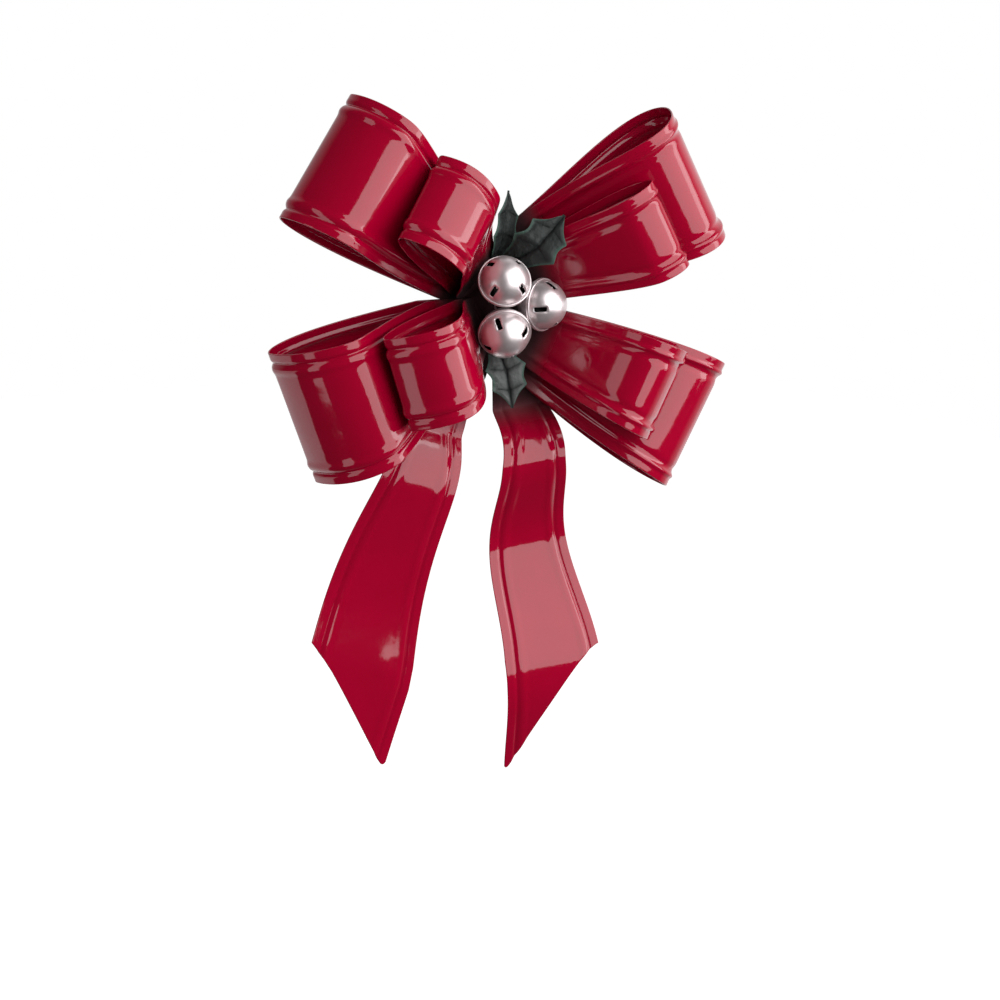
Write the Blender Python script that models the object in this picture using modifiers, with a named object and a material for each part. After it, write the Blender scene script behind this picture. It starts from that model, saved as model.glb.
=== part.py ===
"""A rigid gift bow of lacquered sheet metal, with three holly leaves and three jingle bells.

Eight ribbon loops and two tails are strips of sheet, bent to shape and riveted to a backing disc
through flat tabs. The holly leaves share two of the rivets. The bells hang on a tie wire that runs
through the eye of each bell and through the middle of the disc.

Frame: metres, +Z up, the bow faces -Y, and the origin is the middle of the disc's flat rear face.
"""
import math

import bmesh
import bpy
from mathutils import Matrix, Vector

MM = 0.001

# Sheet, gaps and embossed edge
SHEET = 0.7 * MM
GAP = 0.3 * MM
RIM_DROP = 0.3 * MM
GROOVE_INSET = 5.0 * MM
GROOVE_DEPTH = 1.0 * MM
BEAD_INSET = 8.4 * MM
BEAD_HEIGHT = 0.5 * MM
PANEL_INSET = 12.0 * MM
EMBOSSED_WIDTH = 30.0 * MM
EMBOSS_RUN = 22.0 * MM
STRIP_COLUMNS = 7

# Backing disc, flat behind, with grooves for the feet of the tie wire
DISC_RADIUS = 19.0 * MM
DISC_THICKNESS = 2.0 * MM
DISC_SEGMENTS = 28

# Rivets, one for each quarter of the bow, with the dome as shares of the head's radius and height
RIVET_X = 6.5 * MM
RIVET_Z = 11.5 * MM
RIVET_RADIUS = 1.5 * MM
RIVET_HEAD_RADIUS = 2.6 * MM
RIVET_HEAD_HEIGHT = 1.3 * MM
RIVET_DOME = ((0.0, 1.0), (0.6, 0.75), (1.0, 0.2), (1.0, 0.0))
RIVET_SEGMENTS = 12
COUNTERSINK_RADIUS = 2.8 * MM
HOLE_SEGMENTS = 8

# Tabs of the strips, flat on the disc, and the line between the upper and the lower loops of a side
TAB_WIDTH = 9.0 * MM
TAB_END = 3.5 * MM
OUTER_FOLD = 8.5 * MM
INNER_FOLD = 4.5 * MM
QUARTER_MARGIN = 0.3 * MM
QUARTER_SPLIT = {"left": 2.4 * MM, "right": 0.0 * MM}
TWIST_RUN = 25.0 * MM

# Outer loops and inner loops: strip widths and the swell of the back sheet
OUTER_WIDTH = 66.0 * MM
OUTER_ROOT_WIDTH = 35.5 * MM
OUTER_BACK_SWELL = 10.0 * MM
INNER_WIDTH = 45.0 * MM
INNER_ROOT_WIDTH = 27.0 * MM
INNER_BACK_SWELL = 5.7 * MM
FLARE_POWER = 1.55
OUTER_PINCH = 3.15
INNER_PINCH = 2.4
NOSE_POWER = 4
OUTER_STATIONS = 18
INNER_STATIONS = 14
ANGLE_STEP = 0.01

# Each loop: reach, front swell and side step, then direction, forward lean and twist in degrees.
# Where the front sheet breaks over a ridge: its height, place and softness as shares of the reach,
# and the nose's swell in front of it. Where the back sheet is fuller than in its ring: by how much
LOOPS = {
    "upper_left_outer_loop": dict(reach=102.4 * MM, swell=10.4 * MM, step=-2.4 * MM, turn=145.2, lean=8,
                                  twist=4.3, ridge=42.6 * MM, top=0.80, soft=0.05, nose=28.5 * MM),
    "upper_left_inner_loop": dict(reach=72.0 * MM, swell=9.2 * MM, step=-4.8 * MM, turn=135.6, lean=32,
                                  twist=17, ridge=23.7 * MM, top=0.64, soft=0.04, nose=26.0 * MM),
    "lower_left_outer_loop": dict(reach=103.6 * MM, swell=18.6 * MM, step=4.1 * MM, turn=201.6, lean=7.8,
                                  twist=-3.2, ridge=38.5 * MM, top=0.75, soft=0.05, nose=20.0 * MM),
    "lower_left_inner_loop": dict(reach=78.5 * MM, swell=26.5 * MM, step=4.4 * MM,
                                  turn=200.5, lean=35.5, twist=-4),
    "upper_right_outer_loop": dict(reach=93.9 * MM, swell=21.0 * MM, step=4.5 * MM, turn=27.4, lean=13.5,
                                   twist=-3, ridge=5.0 * MM, top=0.80, soft=0.08, nose=8.0 * MM,
                                   fullness=5.0 * MM),
    "upper_right_inner_loop": dict(reach=76.0 * MM, swell=6.5 * MM, step=-2.5 * MM, turn=26, lean=36,
                                   twist=-3.5, ridge=14.0 * MM, top=0.83, soft=0.025, nose=9.0 * MM),
    "lower_right_outer_loop": dict(reach=97.8 * MM, swell=2.5 * MM, step=-3.7 * MM, turn=-27.8, lean=8,
                                   twist=-1.9, ridge=31.8 * MM, top=0.79, soft=0.10, nose=27.0 * MM),
    "lower_right_inner_loop": dict(reach=77.0 * MM, swell=30.0 * MM, step=-0.9 * MM, turn=-26.8, lean=24,
                                   twist=-4.5, nose=12.0 * MM),
}

# Tails: a strip with a slanted end, long on its inner edge. The left one rises to a single hump
# and falls away slowly, the right one rolls in waves that grow longer downwards. Both swing a little
# sideways on their way down, and their pressed borders are fainter than those of the loops
TAIL_EMBOSS = 0.45
TAIL_NECK_RUN = 25.0 * MM
WAVE_START = 45.5 * MM
WAVE_LENGTH = 65.0 * MM
WAVE_GROWTH = 0.63
WAVE_STEP = 0.1 * MM
HUMP_START = 50.0 * MM
HUMP_RUN = 29.0 * MM
HUMP_POWER = 1.5
SWEEP_RUN = 45.5 * MM
SWAY_RUN = 130.0 * MM
TAIL_ROWS = 28
TAILS = {
    "left_tail": dict(side=-1, heel=164.0 * MM, tip=216.0 * MM, root_width=17.3 * MM, width=54.5 * MM,
                      hump=11.0 * MM, wave=0.0 * MM, sweep=12.6 * MM, sway=4.7 * MM,
                      lean=18.5, hollow=1.06, flare=0.72),
    "right_tail": dict(side=1, heel=160.5 * MM, tip=220.5 * MM, root_width=20.5 * MM, width=50.0 * MM,
                       hump=0.0 * MM, wave=17.5 * MM, sweep=-5.0 * MM, sway=2.4 * MM,
                       lean=6.2, hollow=1.4, flare=0.97),
}

# Holly leaves: stamped blades on narrow tabs
LEAF_SHEET = 0.5 * MM
LEAF_TAB_WIDTH = 6.4 * MM
LEAF_TAB_END = 3.4 * MM
LEAF_STALK = 9.0 * MM
LEAF_RISE_RUN = 21.0 * MM
LEAF_TAPER_RUN = 5.0 * MM
LEAF_STALK_TAPER = 0.55
LEAF_SPINES = 3
LEAF_SCALLOP = 0.24
LEAF_CREASE = 0.16
LEAF_BELLY = 0.8
LEAF_FULLNESS = 0.6
LEAF_TIP = 0.35
LEAF_POINT = 0.5
LEAF_ROWS = 17
LEAF_COLUMNS = 4
LEAVES = {
    "upper_holly_leaf": dict(rivet="upper_left", layer=4, length=42.0 * MM, width=20.0 * MM,
                             lift=8.5 * MM, turn=82, roll=32),
    "right_holly_leaf": dict(rivet="upper_left", layer=5, length=42.0 * MM, width=24.0 * MM,
                             lift=19.5 * MM, turn=46, roll=-30),
    "lower_holly_leaf": dict(rivet="lower_left", layer=5, length=39.0 * MM, width=20.0 * MM,
                             lift=9.5 * MM, turn=-80, roll=12),
}

# Jingle bells: a trefoil of three, each tilted outwards; the cluster stands a little to one side
# of the knot, and its right bell lies further back
BELL_RADIUS = 11.9 * MM
BELL_WALL = 0.6 * MM
BELL_FLANGE = 0.3 * MM
SEAM_RIM = 0.5 * MM
SEAM_HEIGHT = 1.0 * MM
BELL_RING_RADIUS = 14.1 * MM
BELL_FORWARD = 26.0 * MM
BELL_RAISE = -0.6 * MM
BELL_SHIFT = -0.8 * MM
BELL_SETBACK = 3.5 * MM
BELL_TILT = 30.0
SLOT_COUNT = 4
SLOT_WIDTH = 2.4 * MM
SLOT_LENGTH = 7.0 * MM
SLOT_RISE = 33.0
PELLET_RADIUS = 3.0 * MM
BELLS = {"upper_bell": 120.0, "lower_bell": 240.0, "right_bell": 0.0}
SLOT_SPINS = {"upper_bell": 15.0, "lower_bell": 59.0, "right_bell": 7.0}
BELL_SEGMENTS = 16
BELL_RINGS = 7
BELL_INNER_RINGS = 5
SEAM_FOOT = 5.0
PELLET_SEGMENTS = 10
PELLET_RINGS = 6

# Bell eyes and tie wire
WIRE_RADIUS = 0.5 * MM
EYE_RADIUS = 1.6 * MM
EYE_REACH = 14.0 * MM
EYE_FOOT = 1.6 * MM
TIE_OPENING = 20.0
TIE_LEG_SPACING = 8.0 * MM
TIE_FOOT = 3.0 * MM
TIE_FOOT_DEPTH = 0.6 * MM
GROOVE_WIDTH = 2.0 * MM
TIE_OPENING_TURN = 60.0
TIE_SEGMENTS = 24
EYE_SEGMENTS = 8
WIRE_FACETS = 1
WELD = 0.01 * MM

RED_LACQUER = dict(colour=(0.27, 0.0, 0.016), roughness=0.12, metallic=0.0)
HOLLY_GREEN = dict(colour=(0.045, 0.062, 0.055), roughness=0.6, metallic=0.0)
SATIN_SILVER = dict(colour=(0.85, 0.81, 0.80), roughness=0.4, metallic=1.0)
STEEL = dict(colour=(0.5, 0.5, 0.5), roughness=0.35, metallic=1.0)

LAYER_PITCH = SHEET + GAP
RIVETS = {
    "upper_left": (-RIVET_X, RIVET_Z),
    "upper_right": (RIVET_X, RIVET_Z),
    "lower_left": (-RIVET_X, -RIVET_Z),
    "lower_right": (RIVET_X, -RIVET_Z),
}
LAYERS_ON_RIVET = {"upper_left": 6, "upper_right": 4, "lower_left": 6, "lower_right": 5}
FORWARD = Vector((0, -1, 0))


def clear_scene():
    """Remove every object, so that only the bow is left."""
    for obj in list(bpy.data.objects):
        bpy.data.objects.remove(obj, do_unlink=True)


def new_collection(name):
    """A collection linked to the scene."""
    collection = bpy.data.collections.new(name)
    bpy.context.scene.collection.children.link(collection)
    return collection


def new_material(name, colour, roughness, metallic):
    """A Principled material of one finish."""
    material = bpy.data.materials.new(name)
    material.use_nodes = True
    shader = material.node_tree.nodes["Principled BSDF"]
    shader.inputs["Base Color"].default_value = (*colour, 1)
    shader.inputs["Roughness"].default_value = roughness
    shader.inputs["Metallic"].default_value = metallic
    return material


def new_object(name, mesh, collection, material=None):
    """An object of a mesh, in a collection, with its own material."""
    obj = bpy.data.objects.new(name, mesh)
    collection.objects.link(obj)
    if material:
        mesh.materials.append(new_material(name, **material))
    return obj


def ease(x):
    """A smooth step from 0 at x = 0 to 1 at x = 1."""
    x = min(max(x, 0.0), 1.0)
    return x * x * (3 - 2 * x)


def layer_depth(layer):
    """How far forward of the disc's rear face the middle of a sheet in this layer lies."""
    return DISC_THICKNESS + GAP + SHEET / 2 + layer * LAYER_PITCH


def bent_sheet(name, rows, columns, place, thickness, material):
    """A flat blank of rows by columns, bent by place(row, column) and given its thickness."""
    bm = bmesh.new()
    bmesh.ops.create_grid(bm, x_segments=rows, y_segments=columns, size=1.0)
    for vert in bm.verts:
        row = round((vert.co.x + 1) / 2 * rows)
        column = round((vert.co.y + 1) / 2 * columns)
        vert.co = place(row, column)
    mesh = bpy.data.meshes.new(name)
    bm.to_mesh(mesh)
    bm.free()
    obj = new_object(name, mesh, PARTS, material)
    solidify = obj.modifiers.new("sheet", "SOLIDIFY")
    solidify.thickness = thickness
    solidify.offset = 0
    solidify.use_even_offset = True
    return obj


def cut(obj, cutter):
    """Cut one object with another."""
    boolean = obj.modifiers.new(cutter.name, "BOOLEAN")
    boolean.operation = "DIFFERENCE"
    boolean.object = cutter


def new_cutter(name, mesh):
    """A cutter, shown as wire and left out of the bow."""
    cutter = new_object(name, mesh, CUTTERS)
    cutter.display_type = "WIRE"
    cutter.hide_render = True
    return cutter


def turned_mesh(name, profile, segments, closed):
    """A profile of (radius, height) points, outer side first and downwards, turned about Z."""
    mesh = bpy.data.meshes.new(name)
    count = len(profile)
    edges = [(i, i + 1) for i in range(count - 1)]
    if closed:
        edges.append((count - 1, 0))
    mesh.from_pydata([(radius, 0, height) for radius, height in profile], edges, [])
    blank = bpy.data.objects.new(name, mesh)
    CUTTERS.objects.link(blank)
    screw = blank.modifiers.new("turn", "SCREW")
    screw.steps = segments
    screw.render_steps = segments
    screw.use_merge_vertices = True
    screw.merge_threshold = WELD
    return baked_mesh(name, blank)


def baked_mesh(name, blank):
    """The evaluated mesh of a blank, welded, with the blank removed."""
    bpy.context.view_layer.update()
    evaluated = blank.evaluated_get(bpy.context.evaluated_depsgraph_get())
    mesh = bpy.data.meshes.new_from_object(evaluated)
    mesh.name = name
    bpy.data.objects.remove(blank, do_unlink=True)
    bm = bmesh.new()
    bm.from_mesh(mesh)
    bmesh.ops.remove_doubles(bm, verts=bm.verts, dist=WELD)
    bmesh.ops.recalc_face_normals(bm, faces=bm.faces)
    bm.to_mesh(mesh)
    bm.free()
    return mesh


def wire_mesh(name, points):
    """A round wire through the points, with closed ends."""
    curve = bpy.data.curves.new(name, "CURVE")
    curve.dimensions = "3D"
    curve.bevel_depth = WIRE_RADIUS
    curve.bevel_resolution = WIRE_FACETS
    curve.use_fill_caps = True
    spline = curve.splines.new("POLY")
    spline.points.add(len(points) - 1)
    for slot, point in zip(spline.points, points):
        slot.co = (*point, 1)
    blank = bpy.data.objects.new(name, curve)
    CUTTERS.objects.link(blank)
    return baked_mesh(name, blank)


def cylinder_mesh(name, radius, back, front, segments):
    """A closed cylinder along Z from back to front."""
    bm = bmesh.new()
    middle = Matrix.Translation((0, 0, (back + front) / 2))
    bmesh.ops.create_cone(bm, cap_ends=True, segments=segments, radius1=radius, radius2=radius,
                          depth=front - back, matrix=middle)
    mesh = bpy.data.meshes.new(name)
    bm.to_mesh(mesh)
    bm.free()
    return mesh


def face_forward(obj, x=0.0, z=0.0):
    """Turn an object's Z axis to the front of the bow, and set it at x, z on the disc."""
    obj.rotation_euler = (math.pi / 2, 0, 0)
    obj.location = (x, 0, z)


def rivet_top(quarter):
    """How far forward the last sheet on a rivet reaches."""
    return layer_depth(LAYERS_ON_RIVET[quarter] - 1) + SHEET / 2


def countersunk_profile(margin, seat):
    """The flush tail of a rivet and its shank up to the seat, as (radius, height) from the front."""
    depth = COUNTERSINK_RADIUS - RIVET_RADIUS
    return [
        (RIVET_RADIUS + margin, seat),
        (RIVET_RADIUS + margin, depth),
        (COUNTERSINK_RADIUS + margin, 0),
    ]


def build_rivet_cutter(quarter):
    """The hole through the strips' tabs for one rivet."""
    front = rivet_top(quarter) + SHEET
    mesh = cylinder_mesh("hole_" + quarter, RIVET_RADIUS + GAP, -SHEET, front, HOLE_SEGMENTS)
    cutter = new_cutter("hole_" + quarter, mesh)
    face_forward(cutter, *RIVETS[quarter])
    return cutter


def build_rivet(quarter):
    """A rivet with a domed front head and a tail flush with the disc's rear face."""
    seat = rivet_top(quarter) + GAP
    dome = [(RIVET_HEAD_RADIUS * radius, seat + RIVET_HEAD_HEIGHT * height) for radius, height in RIVET_DOME]
    profile = [*dome, *countersunk_profile(0, seat), (0, 0)]
    name = quarter + "_rivet"
    rivet = new_object(name, turned_mesh(name, profile, RIVET_SEGMENTS, False), PARTS, STEEL)
    face_forward(rivet, *RIVETS[quarter])


def build_disc():
    """The backing disc, with countersunk holes for the rivets, and a hole and groove for each wire leg."""
    mesh = cylinder_mesh("backing_disc", DISC_RADIUS, 0, DISC_THICKNESS, DISC_SEGMENTS)
    disc = new_object("backing_disc", mesh, PARTS, RED_LACQUER)
    face_forward(disc)
    front = DISC_THICKNESS + SHEET
    hole = [(0, front), *countersunk_profile(GAP, front), (COUNTERSINK_RADIUS + GAP, -SHEET), (0, -SHEET)]
    for quarter, place in RIVETS.items():
        label = "countersink_" + quarter
        cutter = new_cutter(label, turned_mesh(label, hole, HOLE_SEGMENTS, False))
        face_forward(cutter, *place)
        cut(disc, cutter)
    for side, word in ((-1, "left"), (1, "right")):
        label = "wire_hole_" + word
        mesh = cylinder_mesh(label, WIRE_RADIUS + GAP, -SHEET, front, HOLE_SEGMENTS)
        cutter = new_cutter(label, mesh)
        face_forward(cutter, BELL_SHIFT + side * TIE_LEG_SPACING / 2)
        cut(disc, cutter)
        cut(disc, build_groove_cutter("wire_groove_" + word, side))


def build_groove_cutter(name, side):
    """The shallow groove behind the disc for the bent foot of one wire leg."""
    start = TIE_LEG_SPACING / 2
    stop = start + TIE_FOOT + GAP
    top = TIE_FOOT_DEPTH + WIRE_RADIUS + GAP
    size = Matrix.Diagonal((stop - start, GROOVE_WIDTH, top + SHEET, 1))
    middle = Matrix.Translation((side * (start + stop) / 2, 0, (top - SHEET) / 2))
    bm = bmesh.new()
    bmesh.ops.create_cube(bm, size=1, matrix=middle @ size)
    mesh = bpy.data.meshes.new(name)
    bm.to_mesh(mesh)
    bm.free()
    cutter = new_cutter(name, mesh)
    face_forward(cutter, BELL_SHIFT)
    return cutter


def emboss(low, high, out, strength=1.0):
    """Places across a strip from its low edge to its high edge, with the height of the embossing.

    The embossing fades in over a run from the root, so that the tabs are flat.
    """
    scale = min(1.0, (high - low) / EMBOSSED_WIDTH)
    press = strength * scale * ease(out / EMBOSS_RUN)
    insets = [(0, -RIM_DROP), (GROOVE_INSET, -GROOVE_DEPTH), (BEAD_INSET, BEAD_HEIGHT), (PANEL_INSET, 0)]
    near = [(low + inset * scale, height * press) for inset, height in insets]
    far = [(high - inset * scale, height * press) for inset, height in reversed(insets)]
    return near + far


def swell_curve(angle, pinch):
    """The outline of a loop's side, pinched at the root: sin(t) sin(t / 2)^pinch, highest value 1."""
    peak = max(math.sin(t) * math.sin(t / 2) ** pinch for t in (math.pi * i / 180 for i in range(181)))
    return math.sin(angle) * abs(math.sin(angle / 2)) ** pinch / peak


def tent(share, top, soft):
    """A ridge over a run from 0 to 1: two straight flanks, joined by a hyperbola at the top."""
    start, place, end = (-math.hypot(x - top, soft) for x in (0, share, 1))
    return place - start * (1 - share) - end * share


def build_loop(name, reach, swell, turn, lean, twist, step, ridge=0.0, top=0.5, soft=0.1, nose=0.0,
               fullness=0.0):
    """One ribbon loop: a tab, a back sheet, the round end, a front sheet and a second tab."""
    vertical, side, ring, _ = name.split("_")
    quarter = vertical + "_" + side
    outer = ring == "outer"
    width = OUTER_WIDTH if outer else INNER_WIDTH
    root_width = OUTER_ROOT_WIDTH if outer else INNER_ROOT_WIDTH
    back_swell = fullness + (OUTER_BACK_SWELL if outer else INNER_BACK_SWELL)
    pinch = OUTER_PINCH if outer else INNER_PINCH
    stations = OUTER_STATIONS if outer else INNER_STATIONS
    setback = OUTER_FOLD if outer else INNER_FOLD
    layer = (0 if outer else 2) + (1 if vertical == "lower" else 0)
    up = 1 if vertical == "upper" else -1
    right = 1 if side == "right" else -1

    turn = math.radians(turn)
    lean = math.radians(lean)
    twist = math.radians(twist)
    outwards = Vector((math.cos(turn), 0, math.sin(turn)))
    across = Vector((-math.sin(turn), 0, math.cos(turn)))
    if across.z < 0:
        across = -across
    rising = math.cos(lean) * outwards + math.sin(lean) * FORWARD
    facing = -math.sin(lean) * outwards + math.cos(lean) * FORWARD
    x, z = RIVETS[quarter]
    depth = (layer_depth(layer) + layer_depth(layer + 1)) / 2
    fold = Vector((x, -depth, z)) + setback * outwards + step * across

    tab_stops = [-setback - TAB_END, -setback, -setback / 3]
    angles = [2 * math.pi * i / stations for i in range(1, stations)]
    last = len(tab_stops) + len(angles)

    def outline(angle):
        """A point of the loop seen from its edge, as (out, forward), at an angle from 0 to a full turn."""
        share = (1 - math.cos(angle)) / 2
        forward = -back_swell * swell_curve(angle, pinch)
        if angle > math.pi:
            forward = swell * swell_curve(2 * math.pi - angle, pinch) + ridge * tent(share, top, soft)
            forward += nose * share**NOSE_POWER * math.sqrt(1 - share)
        return Vector((reach * share, forward - LAYER_PITCH / 2 * math.cos(angle / 2)))

    def strip_limits(middle, direction, half):
        """The strip's two edges, kept inside its own quarter of the bow."""
        low, high = -half, half
        for axis, sign, split in ((0, right, 0), (2, up, QUARTER_SPLIT[side])):
            slope = direction[axis] * sign
            limit = (QUARTER_MARGIN - (middle[axis] - split) * sign) / slope
            if slope > 0:
                low = max(low, limit)
            else:
                high = min(high, limit)
        return low, high

    def place(row, column):
        if row < len(tab_stops) or row >= last:
            front_tab = row >= last
            stop = tab_stops[last + len(tab_stops) - 1 - row] if front_tab else tab_stops[row]
            level = LAYER_PITCH / 2 if front_tab else -LAYER_PITCH / 2
            blend = ease(-stop / setback)
            middle = fold + stop * outwards + level * FORWARD - step * blend * across
            half = (root_width + (TAB_WIDTH - root_width) * blend) / 2
            direction = across
            normal = FORWARD if front_tab else -FORWARD
            out = 0
        else:
            angle = angles[row - len(tab_stops)]
            point = outline(angle)
            ahead = outline(angle + ANGLE_STEP)
            run = (ahead - point).normalized()
            spin = twist * ease(point.x / TWIST_RUN)
            spread = 1 - max(1 - point.x / reach, 0) ** FLARE_POWER
            half = (root_width + (width - root_width) * spread) / 2
            front = math.cos(spin) * facing + math.sin(spin) * across
            direction = -math.sin(spin) * facing + math.cos(spin) * across
            middle = fold + point.x * rising + point.y * front
            normal = run.y * rising - run.x * front
            out = point.x
        low, high = strip_limits(middle, direction, half)
        offset, height = emboss(low, high, out)[column]
        return middle + offset * direction + height * normal

    rows = 2 * len(tab_stops) + len(angles) - 1
    loop = bent_sheet(name, rows, STRIP_COLUMNS, place, SHEET, RED_LACQUER)
    cut(loop, HOLES[quarter])


def build_tail(name, side, heel, tip, root_width, width, hump, wave, sweep, sway, lean, hollow, flare):
    """One tail: a tab, then a strip that rolls forward and back and widens to its slanted end."""
    quarter = "lower_right" if side > 0 else "lower_left"
    lean = math.radians(lean)
    down = Vector((side * math.sin(lean), 0, -math.cos(lean)))
    across = Vector((side * math.cos(lean), 0, math.sin(lean)))
    x, z = RIVETS[quarter]
    root = Vector((x, -layer_depth(0), z))

    def stand(along):
        """How far forward the hump and the waves stand at a distance along the tail."""
        rise = max(along - HUMP_START, 0) / HUMP_RUN
        phase = 2 * math.pi * (max(along - WAVE_START, 0) / WAVE_LENGTH) ** WAVE_GROWTH
        return hump * rise**HUMP_POWER * math.exp(HUMP_POWER * (1 - rise)) + wave / 2 * (1 - math.cos(phase))

    def place(row, column):
        inwards = 1 - emboss(0, width, 0)[column][0] / width
        length = heel + (tip - heel) * inwards**hollow
        along = -TAB_END + (length + TAB_END) * row / TAIL_ROWS
        reach = max(along, 0)
        half = (root_width + (width - root_width) * min(reach / heel, 1) ** flare) / 2
        half = TAB_WIDTH / 2 + (half - TAB_WIDTH / 2) * ease(reach / TAIL_NECK_RUN)
        crest = stand(along)
        slope = (stand(along + WAVE_STEP) - crest) / WAVE_STEP
        normal = (FORWARD - slope * down).normalized()
        swing = min(max((reach - WAVE_START) / SWAY_RUN, 0), 1)
        drift = sweep * ease(reach / SWEEP_RUN) + sway * math.sin(math.pi * swing)
        offset, height = emboss(-half, half, reach - TAIL_NECK_RUN, TAIL_EMBOSS)[column]
        middle = root + along * down + drift * Vector((side, 0, 0)) + crest * FORWARD
        return middle + offset * across + height * normal

    tail = bent_sheet(name, TAIL_ROWS, STRIP_COLUMNS, place, SHEET, RED_LACQUER)
    cut(tail, HOLES[quarter])


def build_leaf(name, rivet, layer, length, width, lift, turn, roll):
    """One holly leaf: a round tab and stalk, then a creased blade with spines along its edges."""
    turn = math.radians(turn)
    roll = math.radians(roll)
    along = Vector((math.cos(turn), 0, math.sin(turn)))
    across = FORWARD.cross(along)
    x, z = RIVETS[rivet]
    root = Vector((x, -layer_depth(layer), z))

    def place(row, column):
        reach = -LEAF_TAB_END + (length + LEAF_TAB_END) * row / LEAF_ROWS
        blade = (reach - LEAF_STALK) / (length - LEAF_STALK)
        risen = max(reach - RIVET_HEAD_RADIUS, 0)
        half = LEAF_TAB_WIDTH / 2 * (1 - LEAF_STALK_TAPER * ease(reach / LEAF_TAPER_RUN))
        if blade > 0:
            swell = math.sin(math.pi * min(blade, 1) ** LEAF_BELLY) ** LEAF_FULLNESS
            swell *= min(max(1 - blade, 0) / LEAF_TIP, 1) ** LEAF_POINT
            scallop = 1 - LEAF_SCALLOP * abs(math.sin(LEAF_SPINES * math.pi * blade))
            half = max(width / 2 * swell * scallop, LEAF_TAB_WIDTH / 4 * (1 - blade) + LEAF_SHEET)
        open_out = ease(risen / LEAF_STALK)
        spin = roll * open_out
        sideways = math.cos(spin) * across + math.sin(spin) * FORWARD
        front = -math.sin(spin) * across + math.cos(spin) * FORWARD
        share = column / LEAF_COLUMNS * 2 - 1
        crease = LEAF_CREASE * half * abs(share) * open_out
        rise = lift * ease(risen / LEAF_RISE_RUN)
        return root + reach * along + rise * FORWARD + share * half * sideways + crease * front

    leaf = bent_sheet(name, LEAF_ROWS, LEAF_COLUMNS, place, LEAF_SHEET, HOLLY_GREEN)
    cut(leaf, HOLES[rivet])


def cluster_point(radius, forward, angle):
    """A point of the bell cluster at a radius and an angle round its middle; its right side lies back."""
    setback = BELL_SETBACK * (1 + 2 * math.cos(angle)) / 3
    middle = Vector((BELL_SHIFT, 0, BELL_RAISE))
    return middle + radius * Vector((math.cos(angle), 0, math.sin(angle))) + (forward - setback) * FORWARD


def bell_frame(angle):
    """The place of a bell: an empty in the middle of its eye, with Z along the bell's axis."""
    angle = math.radians(angle)
    outwards = Vector((math.cos(angle), 0, math.sin(angle)))
    tilt = math.radians(BELL_TILT)
    axis = math.cos(tilt) * FORWARD + math.sin(tilt) * outwards
    tangent = Vector((-math.sin(angle), 0, math.cos(angle)))
    centre = cluster_point(BELL_RING_RADIUS, BELL_FORWARD, angle)
    rotation = Matrix((tangent, axis.cross(tangent), axis)).transposed()
    return Matrix.Translation(centre - EYE_REACH * axis) @ rotation.to_4x4()


def arc(radius, start, stop, count):
    """Points of an arc as (radius, height), from a start to a stop angle above the seam in degrees."""
    angles = [math.radians(start + (stop - start) * i / (count - 1)) for i in range(count)]
    return [(radius * math.cos(a), radius * math.sin(a)) for a in angles]


def build_slot_cutter(name, spin):
    """Four round-ended slots that run from near the seam towards the front of a bell."""
    bm = bmesh.new()
    for i in range(SLOT_COUNT):
        before = set(bm.verts)
        bmesh.ops.create_cone(bm, cap_ends=True, segments=HOLE_SEGMENTS, radius1=SLOT_WIDTH / 2,
                              radius2=SLOT_WIDTH / 2, depth=BELL_RADIUS)
        fresh = [vert for vert in bm.verts if vert not in before]
        for vert in fresh:
            vert.co.x += math.copysign((SLOT_LENGTH - SLOT_WIDTH) / 2, vert.co.x + SLOT_WIDTH / 100)
            vert.co.z += BELL_RADIUS
        lean = Matrix.Rotation(math.radians(90 - SLOT_RISE), 4, "Y")
        around = Matrix.Rotation(math.radians(spin + 360 * i / SLOT_COUNT), 4, "Z")
        bmesh.ops.transform(bm, matrix=around @ lean, verts=fresh)
    mesh = bpy.data.meshes.new(name + "_slots")
    bm.to_mesh(mesh)
    bm.free()
    return new_cutter(name + "_slots", mesh)


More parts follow.
